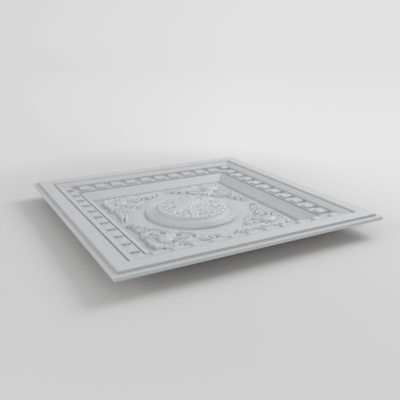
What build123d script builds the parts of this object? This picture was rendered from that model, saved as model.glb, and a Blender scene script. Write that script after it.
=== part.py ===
from build123d import *
import os

# One moulded ceiling tile, lying face up on the flat of its tray.
# Sizes are in millimetres. The origin is on the floor under the middle of the tile.

# Outline and heights
overall = 609.6
flange_reach = 10.2
flange_drop = 5.4
flange_thick = 7.8
height = 49.0
wall = 12.0
edge_radius = 1.2

# Mouldings of the face, from the rim inwards. Widths are in plan, depths are below the rim.
rim_width = 28.4
groove_slope = 3.6
groove_floor = 2.0
groove_depth = 5.3
strap_slope = 1.5
strap_depth = 3.2
ogee_width = 15.1
ogee_depth = 8.5
band_width = 28.9
band_outer_depth = 16.1
band_inner_depth = 17.9
quirk_width = 5.5
quirk_depth = 22.5
cove_width = 21.1
cove_lip_depth = 19.9
cove_foot_depth = 35.4
cove_hollow = 0.6
foot_width = 4.4
field_depth = 41.2

# Blocks that stand in the band. The one in each corner is higher and starts at the ogee's foot.
block_pitch = 42.6
block_share = 0.6
block_reach = 24.9
block_outer_depth = 12.4
block_inner_depth = 13.9
corner_reach = 21.0
corner_inner_depth = 11.0

# Medallion, with its heights measured up from the field
medallion_radius = 110.7
medallion_wall = 4.4
medallion_ledge = 2.0
reed_count = 4
reed_width = 4.6
reed_rise = 1.2
reed_height = 0.9
cavetto_width = 7.5
boss_rise = 16.0
boss_crown = 4.5

# Places worked out from the sizes above, as distances from the middle of the tile
half = overall / 2
plate = half - flange_reach
rim_in = plate - rim_width
groove_out = rim_in - groove_slope
groove_in = groove_out - groove_floor
strap_out = groove_in - strap_slope
band_out = strap_out - ogee_width
band_in = band_out - band_width
quirk_in = band_in - quirk_width
cove_in = quirk_in - cove_width
field_half = cove_in - foot_width

# Heights over the floor
flange_top = height - flange_drop
flange_under = flange_top - flange_thick
strap_top = height - strap_depth
ogee_foot = height - ogee_depth
quirk_floor = height - quirk_depth
field_top = height - field_depth


def frame_section():
    """Half of the tile's section, from its middle out to the flange."""
    under_band = quirk_floor - wall
    ogee_mid = ((strap_out + band_out) / 2, (strap_top + ogee_foot) / 2)
    cove_lip = (quirk_in, height - cove_lip_depth)
    cove_foot = (cove_in, height - cove_foot_depth)
    cove_mid = ((cove_lip[0] + cove_foot[0]) / 2, (cove_lip[1] + cove_foot[1]) / 2 - cove_hollow)
    with BuildSketch(Plane.XZ) as sketch:
        with BuildLine():
            Polyline(
                (0, 0),
                (field_half + wall / 2, 0),
                (quirk_in - wall / 2, under_band),
                (band_out - wall / 2, under_band),
                (rim_in, flange_under),
                (half, flange_under),
                (half, flange_top),
                (plate, flange_top),
                (plate, height),
                (rim_in, height),
                (groove_out, height - groove_depth),
                (groove_in, height - groove_depth),
                (strap_out, strap_top),
            )
            # The ogee is a round shoulder that runs into a hollow
            TangentArc((strap_out, strap_top), ogee_mid, tangent=(-1, -0.15))
            TangentArc((band_out, ogee_foot), ogee_mid, tangent=(1, 0.15))
            Polyline(
                (band_out, ogee_foot),
                (band_out, height - band_outer_depth),
                (band_in, height - band_inner_depth),
                (band_in, quirk_floor),
                (quirk_in, quirk_floor),
                cove_lip,
            )
            ThreePointArc(cove_lip, cove_mid, cove_foot)
            Polyline(cove_foot, (field_half, field_top), (0, field_top), (0, 0))
        make_face()
        # The rim's and the flange's edges are round, as a casting leaves its mould
        rounded = [spot for spot in sketch.vertices() if spot.X > rim_in - 1 and spot.Y > flange_under - 1]
        fillet(rounded, edge_radius)
    return sketch.sketch


def frame():
    """The section run round the four sides and mitred at the corners."""
    bar = extrude(frame_section(), half, both=True)
    corner = make_face(Polyline((0, 0), (overall, overall), (overall, -overall), close=True))
    side = bar & extrude(corner, 2 * height)
    return side + [Rot(0, 0, 90 * quarter) * side for quarter in range(1, 4)]


def long_block(reach, outer_depth, inner_depth, length):
    """A bar against the ogee with a top that falls towards the middle of the tile."""
    inner = band_out - reach
    bottom = quirk_floor - 1
    top = ((band_out, height - outer_depth), (inner, height - inner_depth))
    outline = make_face(Plane.XZ * Polyline((inner, bottom), (band_out, bottom), *top, close=True))
    return extrude(outline, length / 2, both=True)


def block_row():
    """The blocks of one side and the hipped block of one corner."""
    block = long_block(block_reach, block_outer_depth, block_inner_depth, block_share * block_pitch)
    count = int(2 * band_in / block_pitch)
    row = [Pos(0, (number - (count - 1) / 2) * block_pitch, 0) * block for number in range(count)]
    corner = long_block(corner_reach, ogee_depth, corner_inner_depth, 2 * overall)
    return row + [corner & (Rot(0, 0, 90) * corner)]


def medallion():
    """Round stage in the middle: a low wall, fine reeds, a hollow and a crowned disc."""
    foot = field_top - 1
    x = medallion_radius - medallion_ledge
    z = field_top + medallion_wall
    boss_top = field_top + boss_rise
    outline = [(0, foot), (medallion_radius, foot), (medallion_radius, z), (x, z)]
    for number in range(reed_count):
        z = z + reed_rise
        flank = reed_width / 4
        outline += [(x, z), (x - flank, z + reed_height), (x - reed_width + flank, z + reed_height)]
        x = x - reed_width
        outline.append((x, z))
    boss_radius = x - cavetto_width
    crown = (0, boss_top + boss_crown)
    # An arc centred on the axis, so the crown is a true part of a ball
    crown_radius = (boss_radius**2 + boss_crown**2) / (2 * boss_crown)
    with BuildSketch(Plane.XZ) as sketch:
        with BuildLine():
            Polyline(*outline)
            RadiusArc((x, z), (boss_radius, boss_top), 1.2 * cavetto_width)
            RadiusArc((boss_radius, boss_top), crown, -crown_radius)
            Line(crown, (0, foot))
        make_face()
    return revolve(sketch.sketch, Axis.Z)


blocks = [Rot(0, 0, 90 * quarter) * block for quarter in range(4) for block in block_row()]
tile = frame() + [medallion()] + blocks
os.makedirs("parts", exist_ok=True)
export_step(tile, "parts/ceiling_tile.step")
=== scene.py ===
import math

import bmesh
import bpy
from bpy.props import FloatProperty, FloatVectorProperty, IntProperty, PointerProperty
from bpy.types import Operator, Panel, PropertyGroup
from mathutils import Matrix, Vector
from mathutils.geometry import interpolate_bezier


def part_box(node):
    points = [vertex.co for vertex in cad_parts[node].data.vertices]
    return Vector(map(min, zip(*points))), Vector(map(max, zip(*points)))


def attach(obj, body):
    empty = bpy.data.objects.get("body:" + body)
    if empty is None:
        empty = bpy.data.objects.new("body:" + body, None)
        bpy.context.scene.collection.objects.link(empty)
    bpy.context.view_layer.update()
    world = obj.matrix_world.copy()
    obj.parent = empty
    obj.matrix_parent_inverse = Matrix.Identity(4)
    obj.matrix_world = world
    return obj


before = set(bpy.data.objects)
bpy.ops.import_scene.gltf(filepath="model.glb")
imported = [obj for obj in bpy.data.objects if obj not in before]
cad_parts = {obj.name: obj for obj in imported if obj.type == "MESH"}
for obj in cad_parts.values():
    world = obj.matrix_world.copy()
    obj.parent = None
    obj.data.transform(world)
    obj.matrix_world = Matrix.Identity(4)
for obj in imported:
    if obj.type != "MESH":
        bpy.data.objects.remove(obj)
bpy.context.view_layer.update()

bl_info = {
    "name": "Coffered Ceiling Tile",
    "version": (1, 0, 0),
    "blender": (4, 5, 0),
    "location": "3D View > Sidebar > Ceiling Tile",
    "description": "Carves and paints a moulded ceiling tile and lights it on a pale floor",
    "category": "Object",
}

mm = 0.001
TILE = "ceiling_tile"
tile_low, tile_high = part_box(TILE)
tile_height = tile_high[2] - tile_low[2]

# Hollows of the moulding where shade is painted, as distances from the middle of the tile and half widths:
# the step down to the flange, the groove of the frame, the ogee and the foot of the cove
STEP = (294.9 * mm, 1.6 * mm)
GROOVE = (262.0 * mm, 3.4 * mm)
OGEE = (250.5 * mm, 9.0 * mm)
FOOT = (186.3 * mm, 2.8 * mm)

# The medallion's reeds, where highlights and shade are painted, from the outermost one inwards
REEDS_FROM = 108.7 * mm
REED_WIDTH = 4.6 * mm

# Noise scales of the materials, per metre
CLOUDS = 9.0
STREAKS = 70.0
PORES = 260.0
SPECKLE = 180.0

# How far the carving's underside lies below the face that it stands on
SUNK = 1.5 * mm

# The camera, fitted to the edges and corners of the tile
CAMERA_LENS = 45.8706
CAMERA_SENSOR = 36.0
CAMERA_PLACE = (-0.54256, -1.01746, 0.42240)
CAMERA_TURN = (71.6405, -0.2353, -28.9358)

# Azimuth and elevation of each lamp
LAMPS = {"right": (0.0, 40.0), "left": (180.0, 20.0), "front": (270.0, 20.0), "back": (45.0, 40.0)}

# The backdrop: its level over the horizon and at it, how much darker it is on the left of the main view as
# painted shade, and the ways ahead and to the right in that view
ZENITH_TONE = 0.74
HORIZON_TONE = 0.76
LEFT_LOSS = 0.14
VIEW_TURN = math.radians(29.08)
BACKDROP_AHEAD = (math.sin(VIEW_TURN), math.cos(VIEW_TURN), 0.0)
BACKDROP_RIGHT = (math.cos(VIEW_TURN), -math.sin(VIEW_TURN), 0.0)

# The floor's painted light level in front of the tile and behind it, and the distances from the tile's middle
# over which the paper turns into the backdrop and the backdrop into the horizon
FRONT_TONE = 0.645
REAR_TONE = 0.80
PAPER_FADE = (0.46, 0.82)
HORIZON_FADE = (1.2, 5.0)
FLOOR_DROP = 0.1 * mm


def colour(name, description, default):
    """A setting that is a colour."""
    return FloatVectorProperty(
        name=name, description=description, default=default, subtype="COLOR", size=3, min=0.0, max=1.0
    )


def length(name, description, default):
    """A setting that is a length."""
    return FloatProperty(name=name, description=description, default=default, min=0.0, unit="LENGTH")


def power(name, description, default):
    """A setting that is a lamp's power."""
    return FloatProperty(name=name, description=description, default=default, min=0.0, unit="POWER")


def share(name, description, default):
    """A setting between nought and one."""
    return FloatProperty(name=name, description=description, default=default, min=0.0, max=1.0)


class FinishSettings(PropertyGroup):
    """Colours and grain of the moulded foam."""

    primer: colour("Primer", "Colour of the primed face", (0.537, 0.554, 0.563))
    raw_foam: colour("Raw foam", "Colour of the unprimed underside", (0.50, 0.485, 0.43))
    roughness: share("Roughness", "Mean roughness of the primer", 0.5)
    grain: length("Grain", "Width of the fine grain in the primer", 1.4 * mm)


class ReliefSettings(PropertyGroup):
    """Sizes of the carved relief."""

    field_depth: length("Field depth", "Depth of the flat field below the rim", 41.2 * mm)
    field_half: length("Field half width", "From the middle of the tile to the edge of the field", 184.1 * mm)
    corner_height: length("Corner relief", "Height of the corner ornaments over the field", 8.4 * mm)
    boss_depth: length("Boss depth", "Depth of the medallion's disc below the rim, at its edge", 25.2 * mm)
    boss_radius: length("Boss radius", "Radius of the medallion's carved disc", 82.8 * mm)
    boss_crown: length("Boss crown", "Rise of the disc from its edge to its middle", 4.5 * mm)
    rosette_height: length("Rosette relief", "Height of the rosette's leaves over the disc", 4.2 * mm)
    rosette_leaves: IntProperty(
        name="Rosette leaves", description="Large leaves round the rosette", min=4, max=16, default=8
    )


class StageSettings(PropertyGroup):
    """The floor, the background and the lights."""

    floor_shade: share("Floor shade", "Reflectance of the floor round the tile", 0.665)
    floor_size: length("Floor size", "Half the width of the floor", 14.0)
    sky: share("Sky", "Strength of the soft light from all round", 0.52)
    lamp_distance: length("Lamp distance", "From the middle of the tile to each lamp", 2.5)
    lamp_size: length("Lamp size", "Width of each square lamp", 1.2)
    right_power: power("Right lamp", "Power of the lamp to the right", 31.5)
    left_power: power("Left lamp", "Power of the low lamp to the left", 17.0)
    front_power: power("Front lamp", "Power of the low lamp in front", 7.0)
    back_power: power("Back lamp", "Power of the lamp behind and to the right", 2.5)


# Shader nodes

def new_group(name, inputs, outputs):
    """A new node group. Each input is its socket's kind and its default, each output its kind."""
    group = bpy.data.node_groups.new(name, "ShaderNodeTree")
    for label, (kind, default) in inputs.items():
        made = group.interface.new_socket(label, in_out="INPUT", socket_type="NodeSocket" + kind)
        if default is not None:
            made.default_value = default
    for label, kind in outputs.items():
        group.interface.new_socket(label, in_out="OUTPUT", socket_type="NodeSocket" + kind)
    return group


def feed(tree, made, inputs):
    """Sets inputs of a node. Each one is a value, or the socket that feeds it."""
    for name, value in inputs.items():
        if isinstance(value, bpy.types.NodeSocket):
            tree.links.new(value, made.inputs[name])
        else:
            made.inputs[name].default_value = value


def node(tree, kind, inputs=None, **settings):
    """Adds a node."""
    made = tree.nodes.new(kind)
    for name, value in settings.items():
        setattr(made, name, value)
    feed(tree, made, inputs or {})
    return made


def use_group(tree, group, inputs=None):
    """Places a node group and returns its outputs."""
    return node(tree, "ShaderNodeGroup", inputs, node_tree=group).outputs


def maths(tree, operation, first, second=0.0):
    """The result of one sum."""
    return node(tree, "ShaderNodeMath", {0: first, 1: second}, operation=operation).outputs[0]


def scaled(tree, tint, factor):
    """A colour times a number."""
    return node(tree, "ShaderNodeVectorMath", {0: tint, "Scale": factor}, operation="SCALE").outputs[0]


def dot(tree, first, second):
    """The dot product of two vectors."""
    inputs = {0: first, 1: second}
    return node(tree, "ShaderNodeVectorMath", inputs, operation="DOT_PRODUCT").outputs["Value"]


def span(tree, value, start, end, low=0.0, high=1.0, smooth=False):
    """A value from start to end, brought to low to high and kept there."""
    inputs = {"Value": value, "From Min": start, "From Max": end, "To Min": low, "To Max": high}
    kind = "SMOOTHSTEP" if smooth else "LINEAR"
    return node(tree, "ShaderNodeMapRange", inputs, interpolation_type=kind).outputs[0]


def blend(tree, factor, first, second):
    """A number between two others."""
    return node(tree, "ShaderNodeMix", {0: factor, 2: first, 3: second}).outputs[0]


def colour_blend(tree, factor, first, second, kind="MIX"):
    """A colour mixed of two others."""
    inputs = {0: factor, 6: first, 7: second}
    return node(tree, "ShaderNodeMix", inputs, data_type="RGBA", blend_type=kind).outputs[2]


def noise(tree, place, scale, detail):
    """A noise value."""
    return node(tree, "ShaderNodeTexNoise", {"Vector": place, "Scale": scale, "Detail": detail}).outputs[0]


def grey(tree, level):
    """A grey of one level."""
    inputs = {channel: level for channel in ("Red", "Green", "Blue")}
    return node(tree, "ShaderNodeCombineColor", inputs).outputs[0]


def moulded_skin():
    """Node group: the slightly uneven skin of painted foam."""
    name = "moulded skin"
    if name in bpy.data.node_groups:
        return bpy.data.node_groups[name]
    inputs = {
        "Tint": ("Color", None),
        "Unevenness": ("Float", 0.06),
        "Grain Width": ("Float", 1.4 * mm),
        "Mean Roughness": ("Float", 0.5),
    }
    group = new_group(name, inputs, {"Colour": "Color", "Roughness": "Float", "Height": "Float"})
    given = node(group, "NodeGroupInput").outputs
    place = node(group, "ShaderNodeTexCoord").outputs["Object"]
    clouds = noise(group, place, CLOUDS, 4.0)
    streaks = noise(group, place, STREAKS, 3.0)
    grain = noise(group, place, maths(group, "DIVIDE", 1.0, given["Grain Width"]), 2.0)

    # Colour and roughness swing about their means
    centred = maths(group, "SUBTRACT", maths(group, "ADD", clouds, streaks), 1.0)
    gain = maths(group, "ADD", maths(group, "MULTIPLY", centred, given["Unevenness"]), 1.0)
    rough = maths(group, "ADD", maths(group, "MULTIPLY", centred, 0.12), given["Mean Roughness"])
    height = maths(group, "ADD", maths(group, "MULTIPLY", streaks, 2.2), grain)
    results = {"Colour": scaled(group, given["Tint"], gain), "Roughness": rough, "Height": height}
    node(group, "NodeGroupOutput", results)
    return group


def skin(tree, tint, unevenness, grain, roughness):
    """Places the skin group in a material and returns its outputs."""
    inputs = {
        "Tint": (*tint, 1.0),
        "Unevenness": unevenness,
        "Grain Width": grain,
        "Mean Roughness": roughness,
    }
    return use_group(tree, moulded_skin(), inputs)


def painted_hollow_shade():
    """Node group: painted shade in the hollows round the tile and painted highlights on the medallion's
    reeds.
    """
    name = "hollow tone"
    if name in bpy.data.node_groups:
        return bpy.data.node_groups[name]
    losses = {"Groove": 0.2, "Ogee": 0.06, "Foot": 0.12, "Step": 0.14, "Reeds": 0.08}
    inputs = {label: ("Float", loss) for label, loss in losses.items()}
    group = new_group(name, inputs, {"Tone": "Float"})
    given = node(group, "NodeGroupInput").outputs

    def band(distance, middle, half_width):
        away = maths(group, "ABSOLUTE", maths(group, "SUBTRACT", distance, middle))
        return span(group, away, half_width, 0.3 * half_width, smooth=True)

    place = node(group, "ShaderNodeTexCoord").outputs["Object"]
    parts = node(group, "ShaderNodeSeparateXYZ", {"Vector": place}).outputs
    square = maths(group, "MAXIMUM", *(maths(group, "ABSOLUTE", parts[axis]) for axis in ("X", "Y")))
    tone = 1.0
    # Painted shade in the groove, the ogee, the foot of the cove and the step
    for label, (middle, half_width) in (("Groove", GROOVE), ("Ogee", OGEE), ("Foot", FOOT), ("Step", STEP)):
        loss = maths(group, "MULTIPLY", band(square, middle, half_width), given[label])
        tone = maths(group, "SUBTRACT", tone, loss)

    # Painted highlight along the top of each reed and painted shade where it meets the next one
    inputs = {0: place, 1: (1.0, 1.0, 0.0)}
    flat = node(group, "ShaderNodeVectorMath", inputs, operation="MULTIPLY").outputs[0]
    radius = node(group, "ShaderNodeVectorMath", {0: flat}, operation="LENGTH").outputs["Value"]
    inward = maths(group, "SUBTRACT", REEDS_FROM, radius)
    wave = maths(group, "COSINE", maths(group, "MULTIPLY", inward, math.tau / REED_WIDTH))
    ring = band(radius, REEDS_FROM - 2.0 * REED_WIDTH, 3.2 * REED_WIDTH)
    strength = maths(group, "MULTIPLY", ring, given["Reeds"])
    loss = maths(group, "MULTIPLY", maths(group, "SUBTRACT", wave, 0.8), strength)
    node(group, "NodeGroupOutput", {"Tone": maths(group, "SUBTRACT", tone, loss)})
    return group


# Materials

def new_material(name):
    """An empty material, its node tree and its surface shader."""
    made = bpy.data.materials.new(name)
    made.use_nodes = True
    return made, made.node_tree, made.node_tree.nodes["Principled BSDF"]


def primed_face(settings):
    """Primer on the face with painted shade in its hollows and painted highlights on the reeds, and bare foam
    with pores where the moulding faces down.
    """
    material, tree, shader = new_material("primed foam")
    primer = skin(tree, settings.primer, 0.05, settings.grain, settings.roughness)
    raw = skin(tree, settings.raw_foam, 0.16, 2.6 * settings.grain, 0.8)
    place = node(tree, "ShaderNodeTexCoord").outputs["Object"]
    cells = node(tree, "ShaderNodeTexVoronoi", {"Vector": place, "Scale": PORES})
    pores = span(tree, cells.outputs["Distance"], 0.0, 0.35)
    pitted = colour_blend(tree, 0.5, raw["Colour"], pores, "MULTIPLY")
    facing = node(tree, "ShaderNodeNewGeometry").outputs["True Normal"]
    down = node(tree, "ShaderNodeSeparateXYZ", {"Vector": facing}).outputs["Z"]
    under = span(tree, down, -0.25, -0.45)
    # Painted shade in the hollows round the tile and painted highlights on the medallion's reeds
    shaded_primer = scaled(tree, primer["Colour"], use_group(tree, painted_hollow_shade())["Tone"])
    bump = node(tree, "ShaderNodeBump", {"Height": primer["Height"], "Strength": 0.35, "Distance": 0.2 * mm})
    looks = {
        "Base Color": colour_blend(tree, under, shaded_primer, pitted),
        "Roughness": blend(tree, under, primer["Roughness"], raw["Roughness"]),
        "Normal": bump.outputs[0],
    }
    feed(tree, shader, looks)
    return material


def carved_face(settings):
    """Primer on the carved relief, with painted highlights on its crests and painted shade in its hollows."""
    name = "carved foam"
    if name in bpy.data.materials:
        return bpy.data.materials[name]
    material, tree, shader = new_material(name)
    primer = skin(tree, settings.primer, 0.06, settings.grain, settings.roughness)
    edge = node(tree, "ShaderNodeNewGeometry").outputs["Pointiness"]
    # Painted highlights on the crests and painted shade in the hollows, read from the mesh's pointiness
    painted_relief_shading = span(tree, edge, 0.47, 0.53, 0.84, 1.17)
    bump = node(tree, "ShaderNodeBump", {"Height": primer["Height"], "Strength": 0.3, "Distance": 0.2 * mm})
    looks = {
        "Base Color": scaled(tree, primer["Colour"], painted_relief_shading),
        "Roughness": primer["Roughness"],
        "Normal": bump.outputs[0],
    }
    feed(tree, shader, looks)
    return material


# Plan curves and grounds of the carving

def bell(value, middle, width):
    """A smooth bump of height one."""
    return math.exp(-(((value - middle) / width) ** 2))


def bezier(start, bend_a, bend_b, end):
    """A plan curve that runs on straight past its ends."""
    count = 65
    points = interpolate_bezier(*(Vector((*p, 0.0)) for p in (start, bend_a, bend_b, end)), count)

    def at(u):
        place = u * (count - 1)
        index = min(count - 2, max(0, math.floor(place)))
        first, second = points[index], points[index + 1]
        point = first + (second - first) * (place - index)
        return Vector((point.x, point.y))

    return at


def spiral(centre, start_angle, turns, outer, inner):
    """A plan curve that winds in towards its eye."""

    def at(u):
        radius = outer * (inner / outer) ** u
        angle = start_angle + turns * math.tau * u
        return Vector((centre[0] + radius * math.cos(angle), centre[1] + radius * math.sin(angle)))

    return at


def radial(angle, inner, outer, centre=(0.0, 0.0), bend=0.0):
    """A plan curve out from a centre, with its end swung sideways by bend."""

    def at(u):
        radius = inner + (outer - inner) * u
        turned = angle + bend * u * u
        return Vector((centre[0] + radius * math.cos(turned), centre[1] + radius * math.sin(turned)))

    return at


def swell(ground, centre, radius, rise):
    """The ground with a low round dome on it."""

    def at(plan):
        away = (plan - Vector(centre)).length / radius
        return ground(plan) + rise * max(0.0, 1.0 - away * away)

    return at


# Forms of the carving. In each of them u runs from 0 to 1 along the form, and v from -1 to 1
# across it.

def ribbon(bm, spine, half_width, relief, ground, columns=36, rows=12, lean=0.0):
    """A closed strip of carving laid on the ground.

    spine(u) is its line in plan, half_width(u) its half width, and relief(u, v) its height.
    lean draws its sides forward.
    """
    step = 0.002
    foot = bmesh.ops.create_grid(bm, x_segments=columns, y_segments=rows, size=0.5)["verts"]
    faces = list(dict.fromkeys(face for vert in foot for face in vert.link_faces))
    lifted = bmesh.ops.extrude_face_region(bm, geom=faces)["geom"]
    top = {item for item in lifted if isinstance(item, bmesh.types.BMVert)}
    for vert in [*foot, *top]:
        u = min(1.0, max(0.0, vert.co.x + 0.5))
        v = 2.0 * vert.co.y
        along = u + lean * abs(v) * min(1.0, 4.0 * u * (1.0 - 0.6 * u))
        ahead = spine(along + step) - spine(along - step)
        across = Vector((-ahead.y, ahead.x)).normalized()
        plan = spine(along) + across * (half_width(u) * v)
        z = ground(plan) + (relief(u, v) if vert in top else -SUNK)
        vert.co = (plan.x, plan.y, z)


def acanthus(bm, spine, width, height, ground, lobes=3, lean=0.2, per_lobe=15, rows=14):
    """A leaf of plump rounded fingers that turn forward from a raised rib, with a rolled tip."""
    notch = 0.5
    tip = 0.86

    def finger(u):
        return abs(math.sin(math.pi * lobes * u))

    def outline(u):
        body = math.sin(math.pi * (0.12 + 0.78 * u ** 0.85)) ** 0.7
        return width * body * (1.0 - notch + notch * finger(u) ** 0.7)

    def relief(u, v):
        side = abs(v)
        pillow = 0.52 * finger(u) ** 0.8 * bell(side, 0.62, 0.32)
        rib = (0.4 - 0.15 * u) * bell(side, 0.0, 0.17)
        roll = 0.3 * bell(u, 0.88, 0.1) * (1.0 - side * side)
        rise = 0.36 + 0.22 * math.sin(math.pi * (0.1 + 0.72 * u)) + pillow + rib + roll
        fall = 1.0 - 0.7 * (max(0.0, u - tip) / (1.0 - tip)) ** 2
        return height * max(0.12, rise * fall * (1.0 - 0.4 * max(0.0, side - 0.8) / 0.2))

    ribbon(bm, spine, outline, relief, ground, per_lobe * lobes + 4, rows, lean)


def flute(bm, spine, width, height, ground, columns=24, rows=10):
    """A spoon shaped lobe of a palmette, hollow between raised edges, with a rolled end."""

    def outline(u):
        handle = 0.3 + 0.7 * min(1.0, u / 0.75) ** 1.3
        rounding = math.sqrt(max(0.03, 1.0 - (max(0.0, u - 0.76) / 0.25) ** 2))
        return width * handle * rounding

    def relief(u, v):
        side = abs(v)
        rise = 0.42 + 0.38 * u ** 1.4 + 0.3 * bell(u, 0.84, 0.13) - 0.3 * max(0.0, u - 0.9) / 0.1
        hollow = 0.66 + 0.34 * side ** 1.8 - 0.45 * max(0.0, side - 0.8) / 0.2
        roll = 0.3 * bell(u, 0.84, 0.12) * bell(v, 0.0, 0.45)
        return height * max(0.14, rise * hollow + roll)

    ribbon(bm, spine, outline, relief, ground, columns, rows)


def petal(bm, spine, width, height, ground):
    """A plump petal, a little hollow down its middle."""

    def outline(u):
        return width * math.sin(math.pi * min(1.0, 0.16 + 0.7 * u)) ** 0.8

    def relief(u, v):
        crease = 0.2 * bell(v, 0.0, 0.25) * (1.0 - 0.5 * u)
        return height * (0.4 + 0.6 * math.sin(math.pi * (0.1 + 0.6 * u))) * (1.0 - 0.45 * v ** 4 - crease)

    ribbon(bm, spine, outline, relief, ground, columns=14, rows=8, lean=-0.06)


def scroll(bm, spine, width, height, ground, columns):
    """A channel between two raised edges that narrows as it winds in."""

    def outline(u):
        return width * (1.0 - 0.55 * u) * min(1.0, 0.35 + 5.0 * u)

    def relief(u, v):
        side = abs(v)
        channel = 0.74 + 0.26 * side ** 2.2 - 0.34 * max(0.0, side - 0.84) / 0.16
        return height * channel * (0.7 + 0.3 * u)

    ribbon(bm, spine, outline, relief, ground, columns, rows=10)


def cushion(bm, spine, half_width, height, ground):
    """A low swelling under the leaves that fills the hollows between them."""

    def relief(u, v):
        return height * (1.0 - v ** 4) * (1.0 - (2.0 * u - 1.0) ** 6)

    ribbon(bm, spine, half_width, relief, ground, columns=40, rows=20)


def button(bm, centre, radius, height, ground, around=24, rings=12):
    """A round button, cut off where the carving's underside lies."""
    made = bmesh.ops.create_uvsphere(bm, u_segments=around, v_segments=rings, radius=1.0)["verts"]
    bmesh.ops.scale(bm, verts=made, vec=(radius, radius, height))
    for vert in made:
        vert.co.z = max(vert.co.z, -SUNK)
    bmesh.ops.translate(bm, verts=made, vec=(centre[0], centre[1], ground(Vector(centre))))


def bloom(bm, centre, radius, height, ground, petals):
    """An open flower on a low dome: a ring of plump petals round a button."""
    dome = swell(ground, centre, 1.05 * radius, 0.5 * height)
    # Five petals are 0.6 of the radius wide, and more of them are narrower
    width = 0.6 * radius * math.sin(math.pi / petals) / math.sin(math.pi / 5)
    for number in range(petals):
        line = radial(math.tau * number / petals, 0.12 * radius, radius, centre)
        petal(bm, line, width, 0.6 * height, dome)
    button(bm, centre, 0.3 * radius, 0.78 * height, dome)


def volute(bm, centre, start_angle, turns, radius, width, height, ground):
    """A scroll that winds in to a button."""
    wind = spiral(centre, start_angle, turns, radius, 0.2 * radius)
    scroll(bm, wind, width, height, ground, columns=30 + int(52 * abs(turns)))
    button(bm, centre, 0.19 * radius, 1.02 * height, ground, around=20, rings=10)


def finish_piece(bm, name, material):
    """Makes the bmesh a piece of the tile."""
    bmesh.ops.recalc_face_normals(bm, faces=bm.faces)
    mesh = bpy.data.meshes.new(name)
    bm.to_mesh(mesh)
    mesh.materials.append(material)
    mesh.shade_smooth()
    mesh.set_sharp_from_angle(angle=math.radians(42.0))
    piece = bpy.data.objects.new(name, mesh)
    bpy.context.scene.collection.objects.link(piece)
    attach(piece, "root")


def corner_carving(settings):
    """The ornament of one corner, with x running in from the field's corner along the diagonal.

    The places and widths in it are in millimetres, and the heights are shares of the relief.
    """
    bm = bmesh.new()
    base = tile_height - settings.field_depth
    relief = settings.corner_height
    flower = 76
    palmette = 70

    def ground(plan):
        return base

    def spot(x, y, side=1):
        return (x * mm, side * y * mm)

    def line(*points, side=1):
        return bezier(*(spot(x, y, side) for x, y in points))

    def leaf(spine, width, height, **form):
        acanthus(bm, spine, width * mm, height * relief, ground, **form)

    def stem(spine, width, height, columns):
        scroll(bm, spine, width * mm, height * relief, ground, columns)

    def curl(centre, start, turns, radius, width, height):
        volute(bm, centre, start, turns, radius * mm, width * mm, height * relief, ground)

    def body_width(u):
        return (10.0 + 46.0 * math.sin(0.5 * math.pi * min(1.0, 1.25 * u)) ** 1.2) * mm * (1.0 - 0.3 * u ** 6)

    cushion(bm, line((38, 0), (60, 0), (90, 0), (117, 0)), body_width, 0.16 * relief, ground)

    # The palmette is a fan of flutes that opens towards the corner, with the outer ones below
    for number, reach in ((2, 38.0), (1, 38.5), (0, 43.5)):
        for side in ((1, -1) if number else (1,)):
            turn = math.pi - side * math.radians(33.0 * number)
            spine = radial(turn, 8 * mm, reach * mm, spot(palmette, 0), bend=side * 0.06 * number)
            flute(bm, spine, (9.4 - 0.5 * number) * mm, (1.0 - 0.1 * (number % 2)) * relief, ground)

    # The leaf that points at the medallion, and the flower at its root
    leaf(line((86, 0), (98, 0), (112, 0), (125, 0)), 12, 0.9, lobes=2, per_lobe=20, rows=16)
    bloom(bm, spot(flower, 0), 16 * mm, 1.3 * relief, ground, petals=5)

    for side in (1, -1):
        # Leaves that run along the side of the field, the lowest ones first
        leaf(line((80, 40), (90, 51), (101, 63), (112, 79), side=side), 8.5, 0.7, lobes=2, rows=12)
        leaf(line((70, 22), (63, 28), (65, 40), (82, 54), side=side), 8.5, 0.85, lobes=2, rows=12)
        leaf(line((100, 55), (110, 63), (119, 75), (129, 100), side=side), 10.5, 0.85, lobes=4)

        # The stems: out of the flower, and along the inner edge to the arm
        stem(line((84, 6), (80, 12), (77, 20), (77.5, 30), side=side), 4.4, 0.9, columns=24)
        stem(line((110, 3), (121, 12), (126, 34), (114, 56), side=side), 4, 1.05, columns=44)

        # The large volute and the small one behind it
        curl(spot(98.5, 34.5, side), side * (math.pi + 0.55), -side * 1.4, 19.5, 5.4, 1.05)
        curl(spot(121, 70, side), side * 1.3 * math.pi, side * 1.1, 9.5, 3.4, 1.0)

        # Pearls that grow smaller along the stem
        for number in range(4):
            place = spot(86.5 + 2.6 * number, 14.5 + 3.4 * number, side)
            button(bm, place, (2.7 - 0.35 * number) * mm, 0.7 * relief, ground, around=14, rings=8)
    return bm


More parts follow.
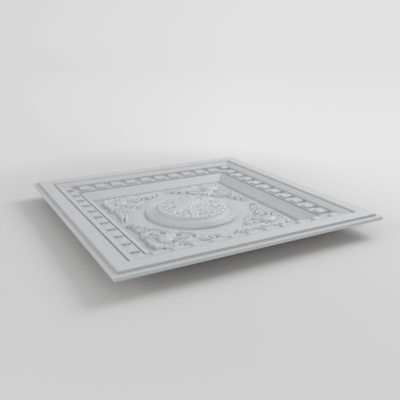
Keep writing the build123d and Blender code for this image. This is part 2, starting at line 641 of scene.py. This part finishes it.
def rosette_carving(settings):
    """The rosette on the medallion's crowned disc, with the heights as shares of its relief."""
    bm = bmesh.new()
    rim = tile_height - settings.boss_depth
    radius = settings.boss_radius
    crown = settings.boss_crown
    ball = (radius ** 2 + crown ** 2) / (2.0 * crown)

    def ground(plan):
        inside = ball ** 2 - min(plan.length_squared, radius ** 2)
        return rim + crown - ball + math.sqrt(inside)

    count = settings.rosette_leaves
    relief = settings.rosette_height
    step = math.tau / count
    whorl_at = 59 * mm

    # Flutes round the edge, then whorls, then the leaves that pass between them
    for number in range(3 * count):
        line = radial(step * (number + 0.5) / 3.0, 60 * mm, 81.5 * mm)
        flute(bm, line, 8.2 * mm, 0.62 * relief, ground, columns=18)
    for number in range(count):
        turn = step * number
        hand = 1 if number % 2 else -1
        centre = (whorl_at * math.cos(turn), whorl_at * math.sin(turn))
        volute(bm, centre, turn + math.pi, hand * 1.35, 15.5 * mm, 4 * mm, relief, ground)
    for number in range(count):
        line = radial(step * (number + 0.5), 16 * mm, 73 * mm)
        acanthus(bm, line, 11.5 * mm, 0.8 * relief, ground, lobes=3, lean=0.14, per_lobe=20)
    for number in range(count):
        line = radial(step * number, 14 * mm, 44 * mm)
        acanthus(bm, line, 9.5 * mm, relief, ground, lobes=2, lean=0.14, rows=12)
    bloom(bm, (0.0, 0.0), 19 * mm, 1.3 * relief, ground, petals=8)
    return bm


# The stage

def backdrop_tone():
    """Node group: the pale backdrop's brightness in a direction, with painted shade to the left of the view.
    """
    name = "backdrop tone"
    if name in bpy.data.node_groups:
        return bpy.data.node_groups[name]
    inputs = {"Direction": ("Vector", None), "Brightness": ("Float", 0.75), "Falloff": ("Float", LEFT_LOSS)}
    group = new_group(name, inputs, {"Colour": "Color"})
    given = node(group, "NodeGroupInput").outputs
    way = node(group, "ShaderNodeVectorMath", {0: given["Direction"]}, operation="NORMALIZE").outputs[0]
    left = span(group, dot(group, way, BACKDROP_RIGHT), 0.1, -0.6)
    kept = maths(group, "SUBTRACT", 1.0, maths(group, "MULTIPLY", left, given["Falloff"]))
    tone = maths(group, "MULTIPLY", kept, given["Brightness"])
    node(group, "NodeGroupOutput", {"Colour": grey(group, tone)})
    return group


def backdrop_rays(tree):
    """One for the rays that see the backdrop, nought for the light that falls on the tile."""
    rays = node(tree, "ShaderNodeLightPath").outputs
    mirrored = maths(tree, "MAXIMUM", rays["Is Glossy Ray"], rays["Is Transmission Ray"])
    return maths(tree, "MAXIMUM", rays["Is Camera Ray"], mirrored)


def floor_material(settings):
    """Matt pale paper that turns into a glowing backdrop away from the tile, painted light that is brighter
    behind the tile and darker to the left.
    """
    material, tree, shader = new_material("floor paper")
    place = node(tree, "ShaderNodeTexCoord").outputs["Object"]
    distance = node(tree, "ShaderNodeVectorMath", {0: place}, operation="LENGTH").outputs["Value"]
    shade = settings.floor_shade
    level = span(tree, noise(tree, place, SPECKLE, 2.0), 0.0, 1.0, 0.99 * shade, 1.01 * shade)
    feed(tree, shader, {"Base Color": grey(tree, level), "Roughness": 0.9, "Specular IOR Level": 0.0})

    # Behind the tile the glowing paper is painted brighter than in front of it, as painted light
    depth = dot(tree, place, BACKDROP_AHEAD)
    near = span(tree, depth, -0.5, 0.7, FRONT_TONE, REAR_TONE, smooth=True)
    horizon = span(tree, distance, *HORIZON_FADE)
    falloff = span(tree, depth, -0.3, 0.3, 0.0, LEFT_LOSS)
    backdrop = {
        "Direction": place,
        "Brightness": blend(tree, horizon, near, HORIZON_TONE),
        "Falloff": blend(tree, horizon, falloff, LEFT_LOSS),
    }
    tone = use_group(tree, backdrop_tone(), backdrop)["Colour"]
    # Away from the tile the paper glows instead of being lit: painted light
    painted_backdrop_light = node(tree, "ShaderNodeEmission", {"Color": tone}).outputs[0]
    far = span(tree, distance, *PAPER_FADE, smooth=True)
    seen = maths(tree, "MULTIPLY", far, backdrop_rays(tree))
    paper = node(tree, "ShaderNodeMixShader", {0: seen, 1: shader.outputs[0], 2: painted_backdrop_light}).outputs[0]

    # From below, the paper doesn't hide the tile
    below = node(tree, "ShaderNodeNewGeometry").outputs["Backfacing"]
    clear = node(tree, "ShaderNodeBsdfTransparent").outputs[0]
    shown = node(tree, "ShaderNodeMixShader", {0: below, 1: paper, 2: clear}).outputs[0]
    feed(tree, tree.nodes["Material Output"], {"Surface": shown})
    return material


def make_world(settings):
    """Even light from all round, and a pale backdrop that the camera and reflections see."""
    world = bpy.data.worlds.new("soft room")
    world.use_nodes = True
    tree = world.node_tree
    tree.nodes.clear()
    light = node(tree, "ShaderNodeBackground", {"Color": (1.0, 1.0, 1.0, 1.0), "Strength": settings.sky})
    direction = node(tree, "ShaderNodeTexCoord").outputs["Generated"]
    up = node(tree, "ShaderNodeSeparateXYZ", {"Vector": direction}).outputs["Z"]
    level = span(tree, up, 0.0, 0.15, HORIZON_TONE, ZENITH_TONE)
    tone = use_group(tree, backdrop_tone(), {"Direction": direction, "Brightness": level})["Colour"]
    shown = node(tree, "ShaderNodeBackground", {"Color": tone})
    inputs = {0: backdrop_rays(tree), 1: light.outputs[0], 2: shown.outputs[0]}
    node(tree, "ShaderNodeOutputWorld", {"Surface": node(tree, "ShaderNodeMixShader", inputs).outputs[0]})
    return world


def make_floor(settings):
    """The sheet of paper that the tile lies on."""
    bm = bmesh.new()
    bmesh.ops.create_grid(bm, x_segments=8, y_segments=8, size=settings.floor_size)
    bmesh.ops.translate(bm, verts=bm.verts, vec=(0.0, 0.0, -FLOOR_DROP))
    mesh = bpy.data.meshes.new("floor")
    bm.to_mesh(mesh)
    bm.free()
    mesh.materials.append(floor_material(settings))
    return bpy.data.objects.new("floor", mesh)


def make_lamp(name, azimuth, elevation, energy, settings):
    """A square soft lamp that looks at the middle of the tile."""
    rise = math.radians(elevation)
    turn = math.radians(azimuth)
    way = Vector((math.cos(rise) * math.cos(turn), math.cos(rise) * math.sin(turn), math.sin(rise)))
    made = bpy.data.objects.new(name, bpy.data.lights.new(name, "AREA"))
    made.data.size = settings.lamp_size
    made.data.energy = energy
    made.location = way * settings.lamp_distance
    made.rotation_euler = way.to_track_quat("Z", "Y").to_euler()
    return made


def make_camera():
    """The camera of the main view."""
    made = bpy.data.objects.new("camera", bpy.data.cameras.new("camera"))
    made.data.lens = CAMERA_LENS
    made.data.sensor_width = CAMERA_SENSOR
    made.location = CAMERA_PLACE
    made.rotation_euler = [math.radians(angle) for angle in CAMERA_TURN]
    return made


# Operators

class TILE_OT_stage(Operator):
    """Set up the floor, the lights and the camera"""

    bl_idname = "tile.stage"
    bl_label = "Set the Stage"

    def execute(self, context):
        scene = context.scene
        settings = scene.tile_stage
        scene.view_settings.view_transform = "Standard"
        scene.world = make_world(settings)
        floor = make_floor(settings)
        scene.collection.objects.link(floor)
        for side, (azimuth, elevation) in LAMPS.items():
            energy = getattr(settings, f"{side}_power")
            scene.collection.objects.link(make_lamp(f"{side}_lamp", azimuth, elevation, energy, settings))
        camera = make_camera()
        scene.collection.objects.link(camera)
        scene.camera = camera
        return {"FINISHED"}


class TILE_OT_paint(Operator):
    """Paint the moulding that the frame holds"""

    bl_idname = "tile.paint"
    bl_label = "Paint the Moulding"

    def execute(self, context):
        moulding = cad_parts[TILE]
        if not moulding.material_slots:
            raise RuntimeError("the moulding has no material slot")
        material = primed_face(context.scene.tile_finish)
        for slot in moulding.material_slots:
            slot.material = material
        return {"FINISHED"}


class TILE_OT_corners(Operator):
    """Carve the ornament in each corner of the field"""

    bl_idname = "tile.corners"
    bl_label = "Carve the Corners"

    def execute(self, context):
        settings = context.scene.tile_relief
        material = carved_face(context.scene.tile_finish)
        bm = corner_carving(settings)
        corner = Matrix.Translation((settings.field_half, settings.field_half, 0.0))
        bmesh.ops.transform(bm, matrix=corner @ Matrix.Rotation(math.radians(225.0), 4, "Z"), verts=bm.verts)
        for number in range(1, 5):
            finish_piece(bm, f"corner_ornament_{number}", material)
            bmesh.ops.rotate(bm, matrix=Matrix.Rotation(math.radians(90.0), 3, "Z"), verts=bm.verts)
        bm.free()
        return {"FINISHED"}


class TILE_OT_rosette(Operator):
    """Carve the rosette on the medallion"""

    bl_idname = "tile.rosette"
    bl_label = "Carve the Rosette"

    def execute(self, context):
        bm = rosette_carving(context.scene.tile_relief)
        finish_piece(bm, "rosette", carved_face(context.scene.tile_finish))
        bm.free()
        return {"FINISHED"}


class TILE_PT_panel(Panel):
    """Lists the steps and the settings"""

    bl_label = "Ceiling Tile"
    bl_idname = "TILE_PT_panel"
    bl_space_type = "VIEW_3D"
    bl_region_type = "UI"
    bl_category = "Ceiling Tile"

    def draw(self, context):
        for step in STEPS:
            self.layout.operator(step.bl_idname)
        for group in (context.scene.tile_finish, context.scene.tile_relief, context.scene.tile_stage):
            box = self.layout.box()
            for name in group.bl_rna.properties.keys():
                if name not in ("rna_type", "name"):
                    box.prop(group, name)


STEPS = (TILE_OT_stage, TILE_OT_paint, TILE_OT_corners, TILE_OT_rosette)
CLASSES = (FinishSettings, ReliefSettings, StageSettings, *STEPS, TILE_PT_panel)


def register():
    for item in CLASSES:
        bpy.utils.register_class(item)
    bpy.types.Scene.tile_finish = PointerProperty(type=FinishSettings)
    bpy.types.Scene.tile_relief = PointerProperty(type=ReliefSettings)
    bpy.types.Scene.tile_stage = PointerProperty(type=StageSettings)


def unregister():
    del bpy.types.Scene.tile_stage
    del bpy.types.Scene.tile_relief
    del bpy.types.Scene.tile_finish
    for item in reversed(CLASSES):
        bpy.utils.unregister_class(item)


def main():
    register()
    bpy.ops.tile.stage()
    bpy.ops.tile.paint()
    bpy.ops.tile.corners()
    bpy.ops.tile.rosette()


if __name__ == "__main__":
    main()
